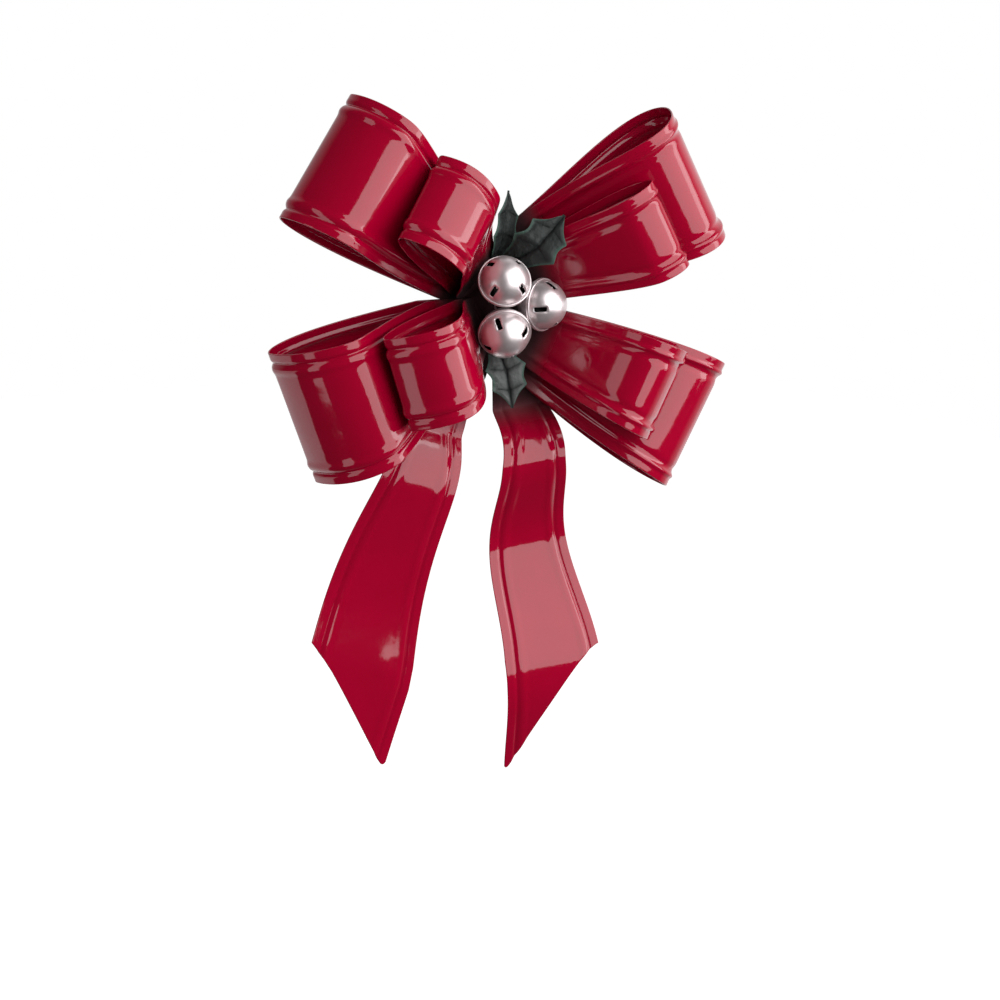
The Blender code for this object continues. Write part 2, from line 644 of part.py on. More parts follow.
def build_bell(name, angle):
    """One jingle bell on its eye: two shells, the eye and the loose pellet."""
    pivot = bpy.data.objects.new(name + "_pivot", None)
    PARTS.objects.link(pivot)
    pivot.matrix_world = bell_frame(angle)
    centre = Vector((0, 0, EYE_REACH))
    inner = BELL_RADIUS - BELL_WALL
    flange = BELL_RADIUS + BELL_FLANGE

    front_profile = [
        *arc(BELL_RADIUS, 90, SEAM_FOOT, BELL_RINGS),
        (flange, BELL_WALL),
        (flange, 0),
        *arc(inner, 0, 90, BELL_INNER_RINGS),
    ]
    mesh = turned_mesh(name + "_front_shell", front_profile, BELL_SEGMENTS, False)
    front = new_object(name + "_front_shell", mesh, PARTS, SATIN_SILVER)
    front.parent = pivot
    front.location = centre
    slots = build_slot_cutter(name, SLOT_SPINS[name])
    slots.parent = pivot
    slots.location = centre
    cut(front, slots)

    lip = flange + GAP
    rear_profile = [
        (lip, SEAM_HEIGHT),
        (lip + SEAM_RIM, SEAM_HEIGHT),
        (lip + SEAM_RIM, -SEAM_HEIGHT),
        *arc(BELL_RADIUS, -SEAM_FOOT, -90, BELL_RINGS)[1:],
        *arc(inner, -90, -math.degrees(GAP / inner), BELL_INNER_RINGS),
        (lip, -GAP),
    ]
    mesh = turned_mesh(name + "_rear_shell", rear_profile, BELL_SEGMENTS, True)
    rear = new_object(name + "_rear_shell", mesh, PARTS, SATIN_SILVER)
    rear.parent = pivot
    rear.location = centre

    spread = EYE_RADIUS + EYE_FOOT
    foot = EYE_REACH - math.sqrt(inner**2 - spread**2) + WIRE_RADIUS + GAP
    eye_points = [Vector((0, spread, foot)), Vector((0, EYE_RADIUS, foot))]
    eye_points += [
        Vector((0, EYE_RADIUS * math.cos(a), -EYE_RADIUS * math.sin(a)))
        for a in (math.pi * i / EYE_SEGMENTS for i in range(EYE_SEGMENTS + 1))
    ]
    eye_points += [Vector((0, -EYE_RADIUS, foot)), Vector((0, -spread, foot))]
    eye = new_object(name + "_eye", wire_mesh(name + "_eye", eye_points), PARTS, STEEL)
    eye.parent = pivot
    for side in (-1, 1):
        label = name + ("_left" if side < 0 else "_right") + "_eye_hole"
        mesh = cylinder_mesh(label, WIRE_RADIUS + GAP, EYE_REACH - BELL_RADIUS - BELL_WALL,
                             EYE_REACH - inner + BELL_WALL, HOLE_SEGMENTS)
        hole = new_cutter(label, mesh)
        hole.parent = pivot
        hole.location = (0, side * EYE_RADIUS, 0)
        cut(rear, hole)

    bm = bmesh.new()
    bmesh.ops.create_uvsphere(bm, u_segments=PELLET_SEGMENTS, v_segments=PELLET_RINGS, radius=PELLET_RADIUS)
    mesh = bpy.data.meshes.new(name + "_pellet")
    bm.to_mesh(mesh)
    bm.free()
    pellet = new_object(name + "_pellet", mesh, PARTS, STEEL)
    pellet.location = pivot.matrix_world @ centre - Vector((0, 0, inner - PELLET_RADIUS - GAP))


def build_tie_wire():
    """The wire ring through the three bell eyes, with two legs through the disc and bent-over feet."""
    tilt = math.radians(BELL_TILT)
    radius = BELL_RING_RADIUS - EYE_REACH * math.sin(tilt)
    forward = BELL_FORWARD - EYE_REACH * math.cos(tilt)
    leg = TIE_LEG_SPACING / 2
    bend = forward - radius / 2
    middle = Vector((BELL_SHIFT, 0, 0))
    start = TIE_OPENING_TURN + TIE_OPENING / 2
    sweep = 360 - TIE_OPENING
    ring = [math.radians(start + sweep * i / TIE_SEGMENTS) for i in range(TIE_SEGMENTS + 1)]
    right_leg = [
        Vector((leg, -bend, 0)),
        Vector((leg, -TIE_FOOT_DEPTH, 0)),
        Vector((leg + TIE_FOOT, -TIE_FOOT_DEPTH, 0)),
    ]
    left_leg = [Vector((-point.x, point.y, point.z)) for point in reversed(right_leg)]
    around = [cluster_point(radius, forward, a) for a in ring]
    path = [middle + point for point in left_leg] + around + [middle + point for point in right_leg]
    new_object("bell_tie_wire", wire_mesh("bell_tie_wire", path), PARTS, STEEL)


clear_scene()
PARTS = new_collection("gift_bow")
CUTTERS = new_collection("cutters")
build_disc()
HOLES = {quarter: build_rivet_cutter(quarter) for quarter in RIVETS}
for quarter in RIVETS:
    build_rivet(quarter)
for name, sizes in LOOPS.items():
    build_loop(name, **sizes)
for name, sizes in TAILS.items():
    build_tail(name, **sizes)
for name, sizes in LEAVES.items():
    build_leaf(name, **sizes)
for name, angle in BELLS.items():
    build_bell(name, angle)
build_tie_wire()
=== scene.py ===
# %% [markdown]
# # A gift bow of lacquered sheet metal
# The bow is an ornament for a parcel or a wreath. Eight loops and two tails are cut from thin sheet, pressed
# along their edges, bent and coated with a deep red lacquer. Three stamped holly leaves and three jingle bells
# sit on the knot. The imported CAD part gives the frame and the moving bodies, and each piece below is built over
# its CAD node, in metres.

import bpy
import numpy as np
from mathutils import Matrix, Vector


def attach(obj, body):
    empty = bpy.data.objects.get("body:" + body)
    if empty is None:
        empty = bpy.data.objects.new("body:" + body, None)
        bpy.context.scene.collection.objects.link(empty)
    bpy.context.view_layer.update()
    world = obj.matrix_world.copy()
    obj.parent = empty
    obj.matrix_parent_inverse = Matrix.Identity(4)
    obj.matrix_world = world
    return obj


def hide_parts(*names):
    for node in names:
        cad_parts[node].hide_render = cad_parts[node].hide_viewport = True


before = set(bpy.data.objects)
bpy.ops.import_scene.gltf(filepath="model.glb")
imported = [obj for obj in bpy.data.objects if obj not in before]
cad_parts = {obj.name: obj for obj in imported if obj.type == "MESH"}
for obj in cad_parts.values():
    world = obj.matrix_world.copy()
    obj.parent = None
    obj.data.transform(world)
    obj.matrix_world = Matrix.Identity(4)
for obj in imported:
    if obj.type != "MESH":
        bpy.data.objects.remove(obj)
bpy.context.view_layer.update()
MM = 0.001

# %% [markdown]
# ## From arrays to meshes
# A surface is an array of points with rows along one parameter and columns along the other. The faces join
# neighbouring rows and columns, so that one function serves every piece. A column wraps round where the last
# one meets the first.

# %% Mesh helpers


def unit(vectors):
    """Each vector of the last axis divided by its length."""
    return vectors / np.maximum(np.linalg.norm(vectors, axis=-1, keepdims=True), 1e-12)


def ease(x):
    """A smooth step from 0 to 1: three times the square less twice the cube of x, which is held to 0..1."""
    x = np.clip(x, 0.0, 1.0)
    return x * x * (3 - 2 * x)


def grid_faces(rows, columns):
    """The four corner numbers of each face of a grid whose last column joins the first."""
    corner = np.arange(rows * columns).reshape(rows, columns)
    beside = np.roll(corner, -1, axis=1)
    return np.stack([corner[:-1], corner[1:], beside[1:], beside[:-1]], axis=-1).reshape(-1, 4)


def add_piece(name, points, faces, material, body, nodes, slot, **values):
    """A smooth mesh in millimetres from the row frame, with named values for each point, on its CAD body."""
    mesh = bpy.data.meshes.new(name)
    points = points.reshape(-1, 3) * MM
    mesh.vertices.add(len(points))
    mesh.vertices.foreach_set("co", points.astype(np.float32).ravel())
    mesh.loops.add(faces.size)
    mesh.loops.foreach_set("vertex_index", faces.astype(np.int32).ravel())
    mesh.polygons.add(len(faces))
    mesh.polygons.foreach_set("loop_start", np.arange(0, faces.size, 4, dtype=np.int32))
    mesh.polygons.foreach_set("use_smooth", np.ones(len(faces), dtype=bool))
    for key, value in values.items():
        value = np.reshape(value, (len(points), -1)).astype(np.float32)
        kind, field = ("FLOAT", "value") if value.shape[1] == 1 else ("FLOAT_VECTOR", "vector")
        mesh.attributes.new(key, kind, "POINT").data.foreach_set(field, value.ravel())
    mesh.update(calc_edges=True)
    mesh.validate()
    mesh.materials.append(material)
    piece = bpy.data.objects.new(name, mesh)
    bpy.context.scene.collection.objects.link(piece)
    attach(piece, body)
    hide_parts(*nodes)
    return piece


# %% [markdown]
# ## Cut sheet
# A shear leaves sheet with a flat thickness, and the lacquer rounds its cut edges a little. The middle surface
# is given both faces half a thickness away, and a half circle closes it along each side and at each end. That
# thin round edge catches the light in the photo.

# %% The sheet with its round edges
SIDE_TURN = np.radians([30, 60, 90, 120, 150])
END_TURN = np.radians([30, 60, 90])


def sheet(middle, thickness):
    """Closed rings round a middle surface: front face, far edge, back face and near edge of each row.
    The faces stand half a thickness along the normal, and each edge is a half circle of that radius."""
    normal = unit(np.cross(np.gradient(middle, axis=0), np.gradient(middle, axis=1)))
    reach = thickness / 2 * np.sin(END_TURN)[:, None, None]
    start = middle[0] + reach[::-1] * unit(middle[0] - middle[1])
    stop = middle[-1] + reach * unit(middle[-1] - middle[-2])
    depth = np.concatenate([np.cos(END_TURN)[::-1], np.ones(len(middle)), np.cos(END_TURN)])
    depth = thickness / 2 * depth[:, None, None]
    middle = np.concatenate([start, middle, stop])
    normal = np.concatenate([normal[:1]] * len(END_TURN) + [normal] + [normal[-1:]] * len(END_TURN))
    near = unit(middle[:, :1] - middle[:, 1:2])
    far = unit(middle[:, -1:] - middle[:, -2:-1])
    over, out = np.cos(SIDE_TURN)[None, :, None], np.sin(SIDE_TURN)[None, :, None]
    far_edge = middle[:, -1:] + depth * (over * normal[:, -1:] + out * far)
    near_edge = middle[:, :1] + depth * (out * near - over * normal[:, :1])
    front = middle + depth * normal
    back = middle - depth * normal
    return np.concatenate([front, far_edge, back[:, ::-1], near_edge], axis=1)


def along_rings(value):
    """A value on the middle surface carried to the rings of the sheet: both faces, edges and ends."""
    ends = len(END_TURN)
    value = np.concatenate([value[:1]] * ends + [value] + [value[-1:]] * ends)
    far, near = value[:, -1:], value[:, :1]
    sides = len(SIDE_TURN)
    return np.concatenate([value, far.repeat(sides, 1), value[:, ::-1], near.repeat(sides, 1)], axis=1)


def faces_forward(rings, middle):
    """One where a ring point stands ahead of its middle surface, towards -Y, and zero on the rear faces."""
    return rings[..., 1] < along_rings(middle[..., 1])


# %% [markdown]
# ## Lacquer, paint and metal
# The red is a thick glossy enamel. A sprayed coat is never quite level: a slow ripple from the pressed sheet
# bends the reflections, and a fine orange peel softens them. Both are heights for a bump, and the same ripple
# moves the colour and the gloss a little. The node groups give values only, and each material keeps its shader.

# %% Node groups


def new_group(name, outputs):
    """A shader node group with named outputs, and its own list of nodes."""
    group = bpy.data.node_groups.new(name, "ShaderNodeTree")
    for label, kind in outputs:
        group.interface.new_socket(name=label, in_out="OUTPUT", socket_type=kind)
    return group, group.nodes.new("NodeGroupOutput")


def add_noise(tree, scale, detail):
    """Noise on the object's own coordinates. Its features are about one metre divided by the scale wide."""
    place = tree.nodes.new("ShaderNodeTexCoord")
    noise = tree.nodes.new("ShaderNodeTexNoise")
    noise.inputs["Scale"].default_value = scale
    noise.inputs["Detail"].default_value = detail
    tree.links.new(place.outputs["Object"], noise.inputs["Vector"])
    return noise.outputs["Fac"]


def add_attribute(tree, name):
    """A value that the mesh carries at each point."""
    node = tree.nodes.new("ShaderNodeAttribute")
    node.attribute_name = name
    return node.outputs["Fac"]


def add_range(tree, value, low, high, start=0.0, stop=1.0):
    """A value from start to stop mapped to low to high, and held there outside."""
    node = tree.nodes.new("ShaderNodeMapRange")
    for key, number in (("From Min", start), ("From Max", stop), ("To Min", low), ("To Max", high)):
        node.inputs[key].default_value = number
    tree.links.new(value, node.inputs["Value"])
    return node.outputs["Result"]


def add_mix(tree, share, first, second):
    """A colour between two colours by a share."""
    node = tree.nodes.new("ShaderNodeMix")
    node.data_type = "RGBA"
    tree.links.new(share, node.inputs["Factor"])
    colours = [socket for socket in node.inputs if socket.type == "RGBA"]
    for socket, colour in zip(colours, (first, second)):
        if isinstance(colour, tuple):
            socket.default_value = (*colour, 1)
        else:
            tree.links.new(colour, socket)
    return next(socket for socket in node.outputs if socket.type == "RGBA")


def add_sum(tree, first, second):
    """Two heights added."""
    node = tree.nodes.new("ShaderNodeMath")
    tree.links.new(first, node.inputs[0])
    tree.links.new(second, node.inputs[1])
    return node.outputs[0]


def new_material(name, group, **settings):
    """A Principled material whose colour, roughness and bump height come from a node group."""
    material = bpy.data.materials.new(name)
    material.use_nodes = True
    tree = material.node_tree
    shader = tree.nodes["Principled BSDF"]
    look = tree.nodes.new("ShaderNodeGroup")
    look.node_tree = group
    bump = tree.nodes.new("ShaderNodeBump")
    bump.inputs["Distance"].default_value = MM
    tree.links.new(look.outputs["Colour"], shader.inputs["Base Color"])
    tree.links.new(look.outputs["Roughness"], shader.inputs["Roughness"])
    tree.links.new(look.outputs["Height"], bump.inputs["Height"])
    tree.links.new(bump.outputs["Normal"], shader.inputs["Normal"])
    for key, value in settings.items():
        shader.inputs[key.replace("_", " ")].default_value = value
    return material


FINISH = [("Colour", "NodeSocketColor"), ("Roughness", "NodeSocketFloat"), ("Height", "NodeSocketFloat")]

# %% The red lacquer
film, film_out = new_group("lacquer_film", FINISH)
ripple = add_noise(film, 70, 1.5)
peel = add_noise(film, 650, 1)
coat = add_mix(film, ripple, (0.25, 0.0, 0.014), (0.285, 0.0, 0.018))
# Painted shade: where the mesh value is one, at the knot and the tops of the tails, the red goes nearly black and the
# gloss goes rough. This stands in for the deep shadow there and dims its reflections.
stain = add_attribute(film, "stain")
film.links.new(add_mix(film, stain, coat, (0.020, 0.0, 0.002)), film_out.inputs["Colour"])
dull = add_sum(film, add_range(film, peel, 0.05, 0.09, 0.3, 0.7), add_range(film, stain, 0, 0.85))
film.links.new(dull, film_out.inputs["Roughness"])
height = add_sum(film, add_range(film, ripple, 0, 0.16), add_range(film, peel, 0, 0.004))
film.links.new(height, film_out.inputs["Height"])
LACQUER = new_material("red_lacquer", film)

# %% The holly paint
paint, paint_out = new_group("leaf_paint", FINISH)
mottle = add_noise(paint, 260, 3)
grain = add_noise(paint, 1500, 2)
# Painted light: a leaf that faces up into the light takes the lighter tone, by its share of painted light.
lit_tone = add_mix(paint, mottle, (0.075, 0.083, 0.080), (0.125, 0.133, 0.130))
ground = add_mix(paint, mottle, (0.010, 0.014, 0.013), (0.024, 0.029, 0.028))
ground = add_mix(paint, add_attribute(paint, "wear"), ground, lit_tone)
edged = add_mix(paint, add_attribute(paint, "rim"), ground, (0.045, 0.085, 0.068))
# Painted shade: the midrib groove and the hollows between the side veins go darker.
valley_shade = add_attribute(paint, "valley")
paint.links.new(add_mix(paint, valley_shade, edged, (0.008, 0.010, 0.010)), paint_out.inputs["Colour"])
paint.links.new(add_range(paint, mottle, 0.42, 0.58), paint_out.inputs["Roughness"])
lumps = add_sum(paint, add_range(paint, mottle, 0, 1.1), add_range(paint, grain, 0, 0.03))
paint.links.new(lumps, paint_out.inputs["Height"])
LEAF_PAINT = new_material("holly_green", paint, Specular_IOR_Level=0.2)

# %% Satin silver and bright steel
satin, satin_out = new_group("satin_metal", FINISH)
cloud = add_noise(satin, 140, 2)
blast = add_noise(satin, 2600, 2)
centre = satin.nodes.new("ShaderNodeAttribute")
centre.attribute_name = "centre"
apart = satin.nodes.new("ShaderNodeVectorMath")
apart.operation = "DISTANCE"
satin.links.new(satin.nodes.new("ShaderNodeTexCoord").outputs["Object"], apart.inputs[0])
satin.links.new(centre.outputs["Vector"], apart.inputs[1])
# Painted shade: the inner walls, nearer the centre than 11.35 mm, are painted nearly black for the dark inside of the
# bell.
hollow = add_range(satin, apart.outputs["Value"], 1.0, 0.0, 11.35 * MM, 11.5 * MM)
plate = add_mix(satin, cloud, (0.64, 0.575, 0.585), (0.72, 0.65, 0.66))
satin.links.new(add_mix(satin, hollow, plate, (0.02, 0.018, 0.018)), satin_out.inputs["Colour"])
satin.links.new(add_range(satin, cloud, 0.32, 0.38, 0.3, 0.7), satin_out.inputs["Roughness"])
satin.links.new(add_range(satin, blast, 0, 0.006), satin_out.inputs["Height"])
SILVER = new_material("satin_silver", satin, Metallic=0.78)

drawn, drawn_out = new_group("drawn_steel", FINISH)
streak = add_noise(drawn, 400, 2)
drawn.links.new(add_mix(drawn, streak, (0.42, 0.42, 0.43), (0.56, 0.56, 0.57)), drawn_out.inputs["Colour"])
drawn.links.new(add_range(drawn, streak, 0.28, 0.42), drawn_out.inputs["Roughness"])
drawn.links.new(add_range(drawn, streak, 0, 0.01), drawn_out.inputs["Height"])
STEEL = new_material("steel", drawn, Metallic=1.0)
print("materials:", [material.name for material in (LACQUER, LEAF_PAINT, SILVER, STEEL)])

# %% [markdown]
# ## The pressed edge
# A pair of rollers presses the border of each strip before it is bent: a low rim, a groove and a round bead.
# Three bell curves of the distance from the cut edge give that border. The columns lie close together there and
# wide apart on the flat panel.

# %% Columns of a strip
EDGE_INSETS = np.linspace(0, 14, 36)
PANEL_SHARES = np.linspace(0, 1, 14)[1:-1]
EMBOSSED_WIDTH = 30.0
COLUMN_SHARE = np.concatenate([0 * EDGE_INSETS, PANEL_SHARES, 0 * EDGE_INSETS + 1])
COLUMN_SHIFT = np.concatenate([EDGE_INSETS, EDGE_INSETS[-1] * (1 - 2 * PANEL_SHARES), -EDGE_INSETS[::-1]])


def pressed_edge(inset):
    """Height of the border at a distance from the cut edge: a bead, less a sunk rim and a groove."""
    rim = 0.3 * np.exp(-((inset / 4.0) ** 4))
    groove = 1.0 * np.exp(-(((inset - 5.0) / 1.15) ** 2))
    bead = 0.55 * np.exp(-(((inset - 8.4) / 1.8) ** 2))
    return bead - rim - groove


def strip_columns(low, high):
    """Offset across the strip and height of the pressed border for each point, between two edges.
    A strip narrower than the embossed width has its border drawn in to scale."""
    scale = np.minimum(1, (high - low) / EMBOSSED_WIDTH)
    offset = low + (high - low) * COLUMN_SHARE + COLUMN_SHIFT * scale
    inset = np.minimum(offset - low, high - offset) / scale
    return offset, pressed_edge(inset) * scale


# %% [markdown]
# ## The loops
# Each loop is one strip. It starts as a tab under a rivet, runs out as the back sheet, turns over at the round
# end and comes back as the front sheet, which swells towards the viewer and breaks over a ridge. The path is a
# curve of one angle from 0 to a full turn: the reach follows a cosine, the swell is a power of the reach share
# times the root that rounds the end, and the ridge is a tent with a soft top.

# %% Loop paths
FORWARD = np.array([0.0, -1.0, 0.0])
SHEET = 0.7
PITCH = 1.0
FIRST_LAYER = 2.65
RIVET_X, RIVET_Z = 6.5, 11.5
TAB_END, TAB_WIDTH = 3.5, 9.0
QUARTER_MARGIN = 0.3
QUARTER_SPLIT = {"left": 2.4, "right": 0.0}
RINGS = {
    "outer": {"width": 66, "root": 35.5, "back": 10.0, "power": 2.075, "fold": 8.5, "layer": 0},
    "inner": {"width": 45, "root": 27, "back": 5.7, "power": 1.7, "fold": 4.5, "layer": 2},
}
LOOPS = {
    "upper_left_outer_loop": (102.4, 10.4, -2.4, 145.2, 8, 4.3, 42.6, 0.80, 0.05, 28.5),
    "upper_left_inner_loop": (72, 9.2, -4.8, 135.6, 32, 17, 23.7, 0.64, 0.04, 26),
    "lower_left_outer_loop": (103.6, 18.6, 4.1, 201.6, 7.8, -3.2, 38.5, 0.75, 0.05, 20),
    "lower_left_inner_loop": (78.5, 26.5, 4.4, 200.5, 35.5, -4, 0, 0.5, 0.1, 0),
    "upper_right_outer_loop": (93.9, 21, 4.5, 27.4, 13.5, -3, 5, 0.80, 0.08, 8),
    "upper_right_inner_loop": (76, 6.5, -2.5, 26, 36, -3.5, 14, 0.83, 0.025, 9),
    "lower_right_outer_loop": (97.8, 2.5, -3.7, -27.8, 8, -1.9, 31.8, 0.79, 0.10, 27),
    "lower_right_inner_loop": (77, 30, -0.9, -26.8, 24, -4.5, 0, 0.5, 0.1, 12),
}
FULLNESS = {"upper_right_outer_loop": 5, "lower_right_inner_loop": -1.5}


def swell(share, power):
    """A bump that leaves the root gently and ends square to the reach: a power of the share times a root."""
    curve = share**power * np.sqrt(np.clip(1 - share, 0, 1))
    peak = power / (power + 0.5)
    return curve / (peak**power * np.sqrt(1 - peak))


def tent(share, top, width):
    """A ridge: two straight flanks from the ends, joined by a hyperbola of that width at the top."""

    def roof(place):
        return -np.sqrt((place - top) ** 2 + width**2)

    return roof(share) - roof(0) * (1 - share) - roof(1) * share


def loop_middle(name, rows=300):
    """Middle surface of a loop: tab, back sheet, round end, front sheet and tab, by the pressed columns, with the
    share of painted shade near the root.
    """
    reach, front_swell, step, turn, lean, twist, ridge, top, top_width, nose = LOOPS[name]
    upright, side, ring, _ = name.split("_")
    size = RINGS[ring]
    signs = {0: 1 if side == "right" else -1, 2: 1 if upright == "upper" else -1}
    layer = size["layer"] + (upright == "lower")
    depth = FIRST_LAYER + (layer + 0.5) * PITCH
    turn, lean, twist = np.radians([turn, lean, twist])
    outwards = np.array([np.cos(turn), 0, np.sin(turn)])
    across = np.array([-np.sin(turn), 0, np.cos(turn)])
    across = across if across[2] > 0 else -across
    rising = np.cos(lean) * outwards + np.sin(lean) * FORWARD
    facing = np.cos(lean) * FORWARD - np.sin(lean) * outwards
    fold = np.array([RIVET_X * signs[0], -depth, RIVET_Z * signs[2]]) + size["fold"] * outwards + step * across

    angle = np.linspace(0, 2 * np.pi, rows)
    share = (1 - np.cos(angle)) / 2
    behind = -(size["back"] + FULLNESS.get(name, 0)) * swell(share, size["power"])
    ahead = front_swell * swell(share, size["power"]) + ridge * tent(share, top, top_width)
    ahead = ahead + nose * share**4 * np.sqrt(np.clip(1 - share, 0, 1))
    forward = np.where(angle <= np.pi, behind, ahead) - PITCH / 2 * np.cos(angle / 2)
    spin = (twist * ease(reach * share / 25))[:, None]
    direction = np.cos(spin) * across - np.sin(spin) * facing
    front = np.cos(spin) * facing + np.sin(spin) * across
    middle = fold + (reach * share)[:, None] * rising + forward[:, None] * front
    half = (size["root"] + (size["width"] - size["root"]) * (1 - (1 - share) ** 1.55)) / 2
    press = ease(reach * share / 22)

    stop = np.linspace(-size["fold"] - TAB_END, -0.4, 16)
    blend = ease(-stop / size["fold"])
    tab = fold + stop[:, None] * outwards - (step * blend)[:, None] * across
    tab_half = (size["root"] + (TAB_WIDTH - size["root"]) * blend) / 2
    middle = np.concatenate([tab - PITCH / 2 * FORWARD, middle, (tab + PITCH / 2 * FORWARD)[::-1]])
    direction = np.concatenate([across + 0 * tab, direction, across + 0 * tab])
    half = np.concatenate([tab_half, half, tab_half[::-1]])
    press = np.concatenate([0 * stop, press, 0 * stop])

    low, high = -half, half
    for axis, sign in signs.items():
        slope = direction[:, axis] * sign
        split = QUARTER_SPLIT[side] if axis == 2 else 0
        limit = (QUARTER_MARGIN - (middle[:, axis] - split) * sign) / slope
        low = np.where(slope > 0, np.maximum(low, limit), low)
        high = np.where(slope > 0, high, np.minimum(high, limit))
    offset, height = strip_columns(low[:, None], high[:, None])
    normal = unit(np.cross(np.gradient(middle, axis=0), direction))
    height = height * press[:, None]
    # Painted shade for the dark knot: one on the tabs and at the fold, fading out between 6 and 22 mm of reach.
    stain = np.concatenate([0 * stop + 1, 1 - ease((reach * share - 6) / 16), 0 * stop + 1])
    points = middle[:, None] + offset[..., None] * direction[:, None] + height[..., None] * normal[:, None]
    return points, stain[:, None] + 0 * offset


for name in LOOPS:
    middle, stain = loop_middle(name)
    rings = sheet(middle, SHEET)
    # The painted shade goes only on the faces that look forward.
    stain = along_rings(stain) * faces_forward(rings, middle)
    add_piece(name + "_sheet", rings, grid_faces(*rings.shape[:2]), LACQUER, "bow", [name], "red_lacquer", stain=stain)
print("loops:", len(LOOPS), "with", rings.shape[0] * rings.shape[1], "points each")

# %% [markdown]
# ## The tails
# A tail hangs from a rivet and widens as it falls. The left one rises to one hump and falls away slowly, the
# right one rolls in waves that lengthen. Each end is cut on a slant with a slight hollow, so every column of
# points runs to a length of its own, and the lacquer rounds the sharp tip.

# %% Tail surfaces
TAILS = {
    "left_tail": (-1, 164.0, 216.0, 17.3, 54.5, 11.0, 0.0, 12.6, 0.0, 45.5, 4.7, 18.5, 1.06, 0.72),
    "right_tail": (1, 160.5, 220.5, 20.5, 50.0, 0.0, 18.1, -3.9, 44.0, 25.5, 0.9, 6.2, 1.4, 0.97),
}
TAIL_PRESS = 0.6


def stand(along, hump, wave):
    """How far forward a tail stands: a hump that fades away, and a raised cosine whose waves lengthen."""
    rise = np.maximum(along - 50, 0) / 25.5
    phase = 2 * np.pi * (np.maximum(along - 40.4, 0) / 69.0) ** 0.655
    swelling = rise**1.5 * np.exp(1.5 * (1 - rise)) + 0.12 * np.exp(-(((along - 171) / 26) ** 2))
    return hump * swelling + wave / 2 * (1 - np.cos(phase))


def tail_middle(name, rows=300):
    """Middle surface of a tail from its tab to its slanted end, by the pressed columns, with painted shade at its top.
    """
    side, heel, tip, root_width, width, hump, wave, sweep, start, run, sway, lean, hollow, flare = TAILS[name]
    lean = np.radians(lean)
    down = np.array([side * np.sin(lean), 0, -np.cos(lean)])
    across = np.array([side * np.cos(lean), 0, np.sin(lean)])
    root = np.array([side * RIVET_X, -FIRST_LAYER, -RIVET_Z])
    inset = COLUMN_SHARE * width + COLUMN_SHIFT
    length = heel + (tip - heel) * np.clip(1 - inset / width, 0, 1) ** hollow - 4 * np.exp(-inset / 1.2)
    along = -TAB_END + (length + TAB_END) * np.linspace(0, 1, rows)[:, None]
    reach = np.maximum(along, 0)
    half = (root_width + (width - root_width) * np.minimum(reach / heel, 1) ** flare) / 2
    half = TAB_WIDTH / 2 + (half - TAB_WIDTH / 2) * ease(reach / 25)
    offset, height = strip_columns(-half, half)
    height = height * TAIL_PRESS * ease((reach - 25) / 22)
    height = height + 0.045 * hump * np.exp(-(((along - 170) / 16) ** 2) - ((offset + 14) / 5) ** 2)
    crest = stand(along, hump, wave)
    slope = (stand(along + 0.1, hump, wave) - crest) / 0.1
    normal = unit(FORWARD - slope[..., None] * down)
    drift = sweep * ease((reach - start) / run) + sway * np.sin(np.pi * np.clip((reach - 45.5) / 130, 0, 1))
    middle = root + along[..., None] * down + drift[..., None] * np.array([side, 0, 0]) + crest[..., None] * FORWARD
    # Painted shade at the top of the tail, under the loops: one down to 34 mm of length, fading out by 54 mm.
    stain = 1 - ease((along - 34) / 20)
    return middle + offset[..., None] * across + height[..., None] * normal, stain


for name, sizes in TAILS.items():
    middle, stain = tail_middle(name)
    if sizes[0] > 0:
        middle, stain = middle[:, ::-1], stain[:, ::-1]
    rings = sheet(middle, SHEET)
    # The painted shade goes only on the faces that look forward.
    stain = along_rings(stain) * faces_forward(rings, middle)
    add_piece(name + "_sheet", rings, grid_faces(*rings.shape[:2]), LACQUER, "bow", [name], "red_lacquer", stain=stain)
print("tails:", list(TAILS))

# %% [markdown]
# ## The holly leaves
# A leaf is stamped from thinner sheet between two dies. The outline swells and narrows with a scallop between
# each pair of spines. The die folds the blade a little along the midrib, presses a groove on that line and
# raises a pillow between the side veins.

# %% Leaf surfaces
LEAF_SHEET = 0.5
SPINES = 3
LEAVES = {
    # The last number of each leaf is its share of painted light: the lower leaf faces up and is painted lighter, the
    # right leaf a little.
    "upper_holly_leaf": (1, 4, 42, 20, 8.5, 82, 32, 0.0),
    "right_holly_leaf": (1, 5, 42, 24, 19.5, 46, -30, 0.12),
    "lower_holly_leaf": (-1, 5, 39, 20, 9.5, -80, 12, 1.0),
}


